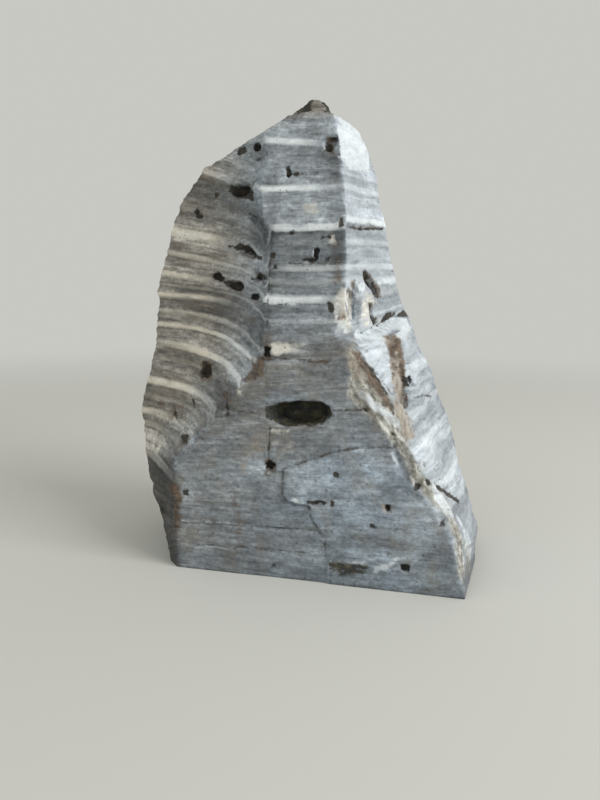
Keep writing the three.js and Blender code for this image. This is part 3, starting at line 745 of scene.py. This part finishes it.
def soil(mesh):
    """Works out what has stained, bleached or bruised each point of the finished surface."""
    places, even = places_of(mesh), eased_facings(mesh, 5)
    zone = zones_of(places, even)
    x, y, z = places.T
    bed = bed_of(places, zone["right"])
    wander = ragged_edge(places)
    from_front, from_right = seen_from(places, even)

    def stained(front, right, soft):
        seen_in_front = from_front * covered(x, z, front, wander, soft)
        return np.maximum(seen_in_front, from_right * covered(y, z, right, wander, soft))

    # The lightness of each bed wanders a little along it.
    stray = 0.35 * uneven(places, (18, 18, 18), 9)
    tone = tone_of(places, zone, bed + stray, level_of(places) + 0.3 * stray)
    # Some of these patches darken the tone as painted shade and shadow.
    for shades, across, seen in ((FRONT_SHADES, x, from_front), (RIGHT_SHADES, y, from_right)):
        for change, outline in shades:
            tone *= 1 + change * seen * covered(across, z, [(1, outline)], wander, 1.2)
    weathered = eased(weathering_of(places, even, zone)[:, None], mesh, 8)[:, 0]
    keep(mesh, "bedding", np.column_stack([x, y, bed]) * MM)
    keep(mesh, "edgeways", along_bevel(places) * MM)
    keep(mesh, "tone", tone)
    keep(mesh, "banded", pale_strength(bed, x, zone["right"], zone["back"]))
    keep(mesh, "fresh", zone["right"] * (1 - ramp(y, 24, 46)))
    keep(mesh, "weathered", np.clip(weathered, 0, 1))
    keep(mesh, "sawn", zone["sawn"])
    keep(mesh, "broken", from_front * covered(x, z, BROKEN_EDGE, wander, 1))

    # Dirt stays in pits, cracks and hollows. The dark slit and line along the step in the sawn front and the
    # crevice under the right face's ledge are painted shadow as well.
    front_pits_and_shadows, right_pits_and_shadows = ([(1, outline) for _, outline in pits_and_shadows] for pits_and_shadows in (FRONT_PITS_AND_SHADOWS, RIGHT_PITS_AND_SHADOWS))
    cracks_and_shadow_lines, beside = np.zeros_like(x), np.zeros_like(x)
    for ways, across, seen in ((FRONT_CRACKS_AND_SHADOW_LINES, x, from_front), (RIGHT_CRACKS, y, from_right)):
        for depth, way in ways:
            away = off_line(across, z, way)
            cracks_and_shadow_lines = np.maximum(cracks_and_shadow_lines, CRACK_DIRT_AND_SHADOW * depth * seen * (1 - ramp(away, 0, 1.1)))
            beside = np.maximum(beside, 1 - ramp(away, 1, 3))
    dirt_and_shadow = np.maximum(stained(front_pits_and_shadows, right_pits_and_shadows, 0.6), cracks_and_shadow_lines)
    dirt_and_shadow = np.maximum(dirt_and_shadow, HOLLOW_DIRT * eaten(places, zone["back"]))
    bulge = standing_out(places, mesh, even, 10)
    keep(mesh, "dirt_and_shadow", np.clip(dirt_and_shadow + HOLLOW_DIRT * ramp(-bulge, 0.25, 0.9), 0, 1))

    keep(mesh, "rust", stained(FRONT_RUST, RIGHT_RUST, 1.2))
    keep(mesh, "tan", stained(FRONT_TAN, [], 1.2))
    # The cavity is dark with moss and dirt, and with painted shade over the rim and walls that the lights
    # reach.
    cavity = covered(x, z, CAVITY, wander, 1) * (y < 0)
    keep(mesh, "moss_and_shade", np.maximum(stained(FRONT_MOSS, [], 0.8), CAVITY_MOSS_AND_SHADE * cavity))
    keep(mesh, "cream", stained(FRONT_CREAM, RIGHT_CREAM, 0.9))

    # Standing edges are rubbed white and given a painted highlight, but not those of cracks, pits or the
    # bevel, nor those low down.
    rubbed_and_highlit = RUBBED_WHITE_AND_HIGHLIGHT * ramp(bulge, 0.25, 0.9) * (1 - cavity) * ramp(z, 2, 8)
    rubbed_and_highlit *= (1 - stained(front_pits_and_shadows, [], 3)) * (1 - beside)
    rubbed_and_highlit *= 1 - covered(x, z, BROKEN_EDGE, wander + 3, 1)
    keep(mesh, "bruise_and_highlight", np.maximum(stained(FRONT_BRUISES_AND_HIGHLIGHTS, RIGHT_BRUISES_AND_HIGHLIGHTS, 0.8), rubbed_and_highlit))


soil(block.data)

# The stone is talc schist, soft enough to saw. Sawn faces are smooth and blue-grey, weathered ones warmer and
# darker, and freshly bruised ones almost white, because crushed talc is white. It has a dull, greasy sheen.


def linear(hex_colour):
    """A colour given in sRGB hex, as the linear values that a shader takes."""
    parts = [int(hex_colour[i:i + 2], 16) / 255 for i in (1, 3, 5)]
    return (*[p / 12.92 if p <= 0.04045 else ((p + 0.055) / 1.055) ** 2.4 for p in parts], 1)


stone = bpy.data.materials.new("weathered soapstone")
stone.use_nodes = True
tree = stone.node_tree
tree.nodes.clear()


def add(kind, inputs=None, output=0, **settings):
    """Adds a node with its settings and links, and returns one of its outputs."""
    made = tree.nodes.new(kind)
    for name, value in settings.items():
        setattr(made, name, value)
    for socket, value in (inputs or {}).items():
        if isinstance(value, bpy.types.NodeSocket):
            tree.links.new(value, made.inputs[socket])
        else:
            made.inputs[socket].default_value = value
    return made.outputs[output] if made.outputs else made


place = add("ShaderNodeTexCoord", output="Object")
bedding = add("ShaderNodeAttribute", output="Vector", attribute_name="bedding")
edgeways = add("ShaderNodeAttribute", output="Vector", attribute_name="edgeways")
bed = add("ShaderNodeSeparateXYZ", {0: bedding}, output="Z")
WORN = ["tone", "banded", "fresh", "weathered", "sawn", "broken", "dirt_and_shadow", "rust", "tan", "moss_and_shade", "cream",
        "bruise_and_highlight"]
worn = {name: add("ShaderNodeAttribute", output="Fac", attribute_name=name) for name in WORN}


def clouds(vector, size, detail, span, result=(0, 1), rough=0.55):
    """A cloudy pattern with clouds about size metres wide, whose span of values becomes the result."""
    stretched = add("ShaderNodeMapping", {"Vector": vector, "Scale": tuple(1 / s for s in size)})
    cloudy = add("ShaderNodeTexNoise",
                 {"Vector": stretched, "Scale": 1.0, "Detail": detail, "Roughness": rough})
    return add("ShaderNodeMapRange", {"Value": cloudy, "From Min": span[0], "From Max": span[1],
                                      "To Min": result[0], "To Max": result[1]})


# Ground colour: blue-grey, warm grey where weathered, and pale where freshly split.
BLUE_GREY, WARM_GREY, PALE_GREY = linear("#909da9"), linear("#94918a"), linear("#b0b8bf")
ground = add("ShaderNodeMix", {0: worn["weathered"], 6: BLUE_GREY, 7: WARM_GREY}, output=2, data_type="RGBA")
ground = add("ShaderNodeMix", {0: worn["fresh"], 6: ground, 7: PALE_GREY}, output=2, data_type="RGBA")
# The leaves of the schist, in sets 2.4 mm down to 0.7 mm thick, and mottling from 1.8 mm to 16 mm wide. Real
# leaves and grains go down to about 0.1 mm, too fine to show, so the finest are drawn as coarse as this. Each
# pattern goes with its share: fainter on sawn and on freshly split rock, or on one kind of face alone.
leaves = clouds(bedding, (0.06, 0.06, 0.0024), 5.0, (0.33, 0.67), (-0.3, 0.3), 0.72)
evenly = add("ShaderNodeMath", {0: worn["fresh"], 1: 0.45}, operation="MULTIPLY")
evenly = add("ShaderNodeMath", {0: worn["sawn"], 1: evenly}, operation="ADD", use_clamp=True)
laid = add("ShaderNodeMapRange", {"Value": evenly, "To Min": 1.0, "To Max": 0.4})
mottled = add("ShaderNodeMapRange", {"Value": worn["fresh"], "To Min": 1.0, "To Max": 0.4})
PATTERNS = [
    (leaves, laid),
    (clouds(bedding, (0.03, 0.03, 0.0007), 3.0, (0.3, 0.7), (-0.2, 0.2), 0.65), laid),
    (clouds(bedding, (0.05, 0.05, 0.0011), 4.0, (0.34, 0.66), (-0.52, 0.52), 0.7), worn["weathered"]),
    (clouds(bedding, (0.04, 0.04, 0.001), 3.0, (0.33, 0.67), (-0.2, 0.2)), worn["fresh"]),
    (clouds(place, (0.0018, 0.0018, 0.0014), 2.0, (0.3, 0.7), (-0.26, 0.26)), mottled),
    (clouds(place, (0.007, 0.007, 0.002), 4.0, (0.32, 0.68), (-0.36, 0.36), 0.6), mottled),
    (clouds(place, (0.016, 0.016, 0.011), 2.0, (0.32, 0.68), (-0.26, 0.26)), mottled),
]
value = worn["tone"]
for pattern, share in PATTERNS:
    change = add("ShaderNodeMath", {0: pattern, 1: share, 2: 1.0}, operation="MULTIPLY_ADD")
    value = add("ShaderNodeMath", {0: value, 1: change}, operation="MULTIPLY")
ground = add("ShaderNodeVectorMath", {0: ground, "Scale": value}, operation="SCALE")

# The pale beds, as ramps over the bed numbers from 0 to LAST_BED. A ramp has room for seven of them.
BEDS_TO_A_RAMP = 7
LAST_BED = 100
along_beds = add("ShaderNodeMath", {0: bed, 1: 1 / (LAST_BED * MM)}, operation="MULTIPLY")
bands = None
for first in range(0, len(PALE_BEDS), BEDS_TO_A_RAMP):
    shown = add("ShaderNodeValToRGB", {"Fac": along_beds})
    stops = shown.node.color_ramp.elements
    marks = [(0, 0)]
    for middle, half, _, _ in sorted(PALE_BEDS[first:first + BEDS_TO_A_RAMP]):
        marks += [(middle - half - BED_EDGE, 0), (middle - half, 1)]
        marks += [(middle + half, 1), (middle + half + BED_EDGE, 0)]
    while len(stops) < len(marks):
        stops.new(0.5)
    for stop, (at, strength) in zip(stops, marks):
        stop.position = at / LAST_BED
        stop.color = (strength, strength, strength, 1)
    bands = shown if bands is None else add("ShaderNodeMath", {0: bands, 1: shown}, operation="MAXIMUM")
patchy = clouds(bedding, (0.012, 0.012, 0.0016), 4.0, (0.3, 0.55), (0.45, 1))
bare = add("ShaderNodeMapRange", {"Value": worn["sawn"], "To Min": 1.0, "To Max": 0.06})
for share in (patchy, bare, worn["banded"]):
    bands = add("ShaderNodeMath", {0: bands, 1: share}, operation="MULTIPLY")
creamy = add("ShaderNodeMapRange", {"Value": worn["weathered"], "From Min": 0.6, "From Max": 1.0})
CLEAN_TALC, WEATHERED_TALC = linear("#e4eaec"), linear("#e6dfcf")
pale = add("ShaderNodeMix", {0: creamy, 6: CLEAN_TALC, 7: WEATHERED_TALC}, output=2, data_type="RGBA")

# Brown and dark seams run along the leaves, and dark specks of iron ore lie between them.
seam_brown = clouds(bedding, (0.022, 0.022, 0.0012), 4.0, (0.5, 0.66), rough=0.6)
seam_brown = add("ShaderNodeMath", {0: seam_brown, 1: worn["weathered"]}, operation="MULTIPLY")
seam_dark = clouds(bedding, (0.02, 0.02, 0.0008), 3.0, (0.63, 0.72), (0, 0.6), rough=0.6)
specks = clouds(place, (0.0016, 0.0016, 0.0016), 2.0, (0.66, 0.72), (0, 0.6))
# The broken edge is torn into splinters that run along it, from dark clefts to white crushed crests.
splinters = clouds(edgeways, (0.0025, 0.0045, 0.003), 5.0, (0.3, 0.7), rough=0.7)
torn = add("ShaderNodeValToRGB", {"Fac": splinters})
stops = torn.node.color_ramp.elements
for at, hue in ((0.25, "#726d61"), (0.5, "#99978d")):
    stops.new(at).color = linear(hue)
stops[0].color = linear("#47423a")
stops[-1].color = linear("#e2e2dd")
# Rust is brown to nearly black, and where it has washed thin the stone is only tan. Moss and dirt are deepest
# black only in places; in the cavity the moss is partly painted shade, and in some pits and cracks the dirt
# is painted shadow. Each stain has its clouds, its hue where it lies thick and where it lies thin, its
# strength, and how much of it there has to be before it shows at all and shows in full.
rusty = clouds(bedding, (0.0032, 0.0032, 0.001), 4.0, (0.34, 0.64), rough=0.65)
washed = clouds(place, (0.0014, 0.004, 0.009), 4.0, (0.32, 0.68), rough=0.6)
streaked = clouds(bedding, (0.009, 0.009, 0.0009), 4.0, (0.32, 0.62), rough=0.6)
earthy = clouds(place, (0.004, 0.004, 0.003), 3.0, (0.45, 0.64))
STAINS = [
    ("cream", streaked, "#bcb7ac", "#e9e6dd", 0.85, 0.12, 0.8),
    ("bruise_and_highlight", streaked, "#c4cbd0", "#dfe6ea", 0.9, 0.15, 0.75),
    ("tan", washed, "#75685a", "#bab0a0", 0.85, 0.2, 0.7),
    ("rust", rusty, "#2b1d14", "#715c47", 0.88, 0.25, 0.7),
    ("moss_and_shade", earthy, "#16160e", "#4a452a", 0.95, 0.3, 0.66),
    ("dirt_and_shadow", earthy, "#1d1912", "#3f382a", 0.95, 0.25, 0.75),
]
foxing = clouds(place, (0.011, 0.011, 0.016), 5.0, (0.52, 0.68), rough=0.62)
foxing = add("ShaderNodeMath", {0: foxing, 1: worn["sawn"]}, operation="MULTIPLY")
layers = [(foxing, linear("#7b7160"), 0.4), (seam_brown, linear("#6f6455"), 0.5),
          (seam_dark, linear("#3f3d3a"), 1), (bands, pale, 1), (worn["broken"], torn, 0.92)]
for name, pattern, deep, thin, strength, low, high in STAINS:
    # Its edge is ragged, and where there is none of it nothing of the edge's pattern shows.
    ragged = clouds(bedding, (0.004, 0.004, 0.0013), 5.0, (0.25, 0.75), (-0.5, 0.5), 0.65)
    reach = add("ShaderNodeMath", {0: worn[name], 1: ragged}, operation="ADD")
    reach = add("ShaderNodeMapRange", {"Value": reach, "From Min": low, "From Max": high})
    marked = add("ShaderNodeMapRange", {"Value": worn[name], "From Min": 0.02, "From Max": 0.3})
    reach = add("ShaderNodeMath", {0: reach, 1: marked}, operation="MULTIPLY")
    hue = add("ShaderNodeMix", {0: pattern, 6: linear(deep), 7: linear(thin)}, output=2, data_type="RGBA")
    layers.append((reach, hue, strength))
layers.append((specks, linear("#33312d"), 1))
colour = ground
for share, hue, strength in layers:
    part = add("ShaderNodeMapRange", {"Value": share, "To Max": strength})
    colour = add("ShaderNodeMix", {0: part, 6: colour, 7: hue}, output=2, data_type="RGBA")

# Low grains of about 1 mm, which the mesh is too coarse for. Talc bends light by 1.54 to 1.60.
grit = clouds(place, (0.0011, 0.0011, 0.0011), 4.0, (0.2, 0.8), (0, 0.6))
height = add("ShaderNodeMath", {0: grit, 1: leaves}, operation="ADD")
bump = add("ShaderNodeBump", {"Height": height, "Strength": 0.6, "Distance": 0.0005})
SPLIT_ROUGHNESS, SAWN_ROUGHNESS = 0.78, 0.6
TALC_IOR = 1.57
roughness = add("ShaderNodeMapRange",
                {"Value": worn["sawn"], "To Min": SPLIT_ROUGHNESS, "To Max": SAWN_ROUGHNESS})
shader = add("ShaderNodeBsdfPrincipled",
             {"Base Color": colour, "Roughness": roughness, "IOR": TALC_IOR, "Normal": bump})
add("ShaderNodeOutputMaterial", {"Surface": shader})
block.data.materials.clear()
block.data.materials.append(stone)
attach(block, "root")
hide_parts("soapstone")

# ---------------------------------------------------------------------------------------------------------
# The studio: a pale floor that fades into the pale surround, a large soft light from the right and a weak
# one from the left. None of it is part of the stone.
FLOOR_RADIUS = 4.0
FADE_STARTS, FADE_ENDS = 0.3, 1.1
floor_shape = bmesh.new()
bmesh.ops.create_circle(floor_shape, cap_ends=True, segments=64, radius=FLOOR_RADIUS)
floor_mesh = bpy.data.meshes.new("studio_floor")
floor_shape.to_mesh(floor_mesh)
floor_shape.free()
floor = bpy.data.objects.new("studio_floor", floor_mesh)
bpy.context.scene.collection.objects.link(floor)
SURROUND = linear("#cdcdc8")
SURROUND_STRENGTH = 0.95
paper = bpy.data.materials.new("pale floor")
paper.use_nodes = True
tree = paper.node_tree
tree.nodes.clear()
lit = add("ShaderNodeBsdfPrincipled", {"Base Color": linear("#c9c9c4"), "Roughness": 0.9})
far = add("ShaderNodeEmission", {"Color": SURROUND, "Strength": SURROUND_STRENGTH})
reach = add("ShaderNodeVectorMath", {0: add("ShaderNodeTexCoord", output="Object")}, output="Value",
            operation="LENGTH")
fade = add("ShaderNodeMapRange", {"Value": reach, "From Min": FADE_STARTS, "From Max": FADE_ENDS},
           interpolation_type="SMOOTHSTEP")
mixed = add("ShaderNodeMixShader", {0: fade, 1: lit, 2: far})
add("ShaderNodeOutputMaterial", {"Surface": mixed})
floor_mesh.materials.append(paper)

studio = bpy.data.worlds.new("studio")
studio.use_nodes = True
studio.node_tree.nodes["Background"].inputs["Color"].default_value = SURROUND
studio.node_tree.nodes["Background"].inputs["Strength"].default_value = SURROUND_STRENGTH
bpy.context.scene.world = studio
bpy.context.scene.view_settings.view_transform = "Standard"


def soft_light(name, place, aim, size, power):
    """A square soft box at a place, turned to what it lights. Its power is in watts."""
    lamp = bpy.data.lights.new(name, "AREA")
    lamp.size = size
    lamp.energy = power
    holder = bpy.data.objects.new(name, lamp)
    holder.location = place
    holder.rotation_euler = (Vector(aim) - Vector(place)).to_track_quat("-Z", "Y").to_euler()
    bpy.context.scene.collection.objects.link(holder)


STONE_MIDDLE = (0, 0, 0.1)
soft_light("key softbox", (1.15, -0.35, 0.75), STONE_MIDDLE, 0.8, 14)
soft_light("fill softbox", (-0.9, -1.0, 0.9), STONE_MIDDLE, 1.2, 2.5)

# The camera stands a little above the middle of the stone and right of it, and looks down at it.
CAMERA_PLACE = Vector((0.06905, -0.30925, 0.11685))
CAMERA_TURN = math.radians(13.3)
CAMERA_DROP = math.radians(9.0)
CAMERA_ROLL = math.radians(0.98)
LENS_MM, SENSOR_MM = 31.5, 36
level_reach = math.cos(CAMERA_DROP)
forward = Vector((-math.sin(CAMERA_TURN) * level_reach, math.cos(CAMERA_TURN) * level_reach,
                  -math.sin(CAMERA_DROP)))
lens = bpy.data.cameras.new("camera")
lens.sensor_width = SENSOR_MM
lens.lens = LENS_MM
lens.clip_start = 0.01
camera = bpy.data.objects.new("camera", lens)
camera.location = CAMERA_PLACE
camera.rotation_euler = forward.to_track_quat("-Z", "Y").to_euler()
bpy.context.scene.collection.objects.link(camera)
camera.rotation_euler.rotate_axis("Z", CAMERA_ROLL)
bpy.context.scene.camera = camera
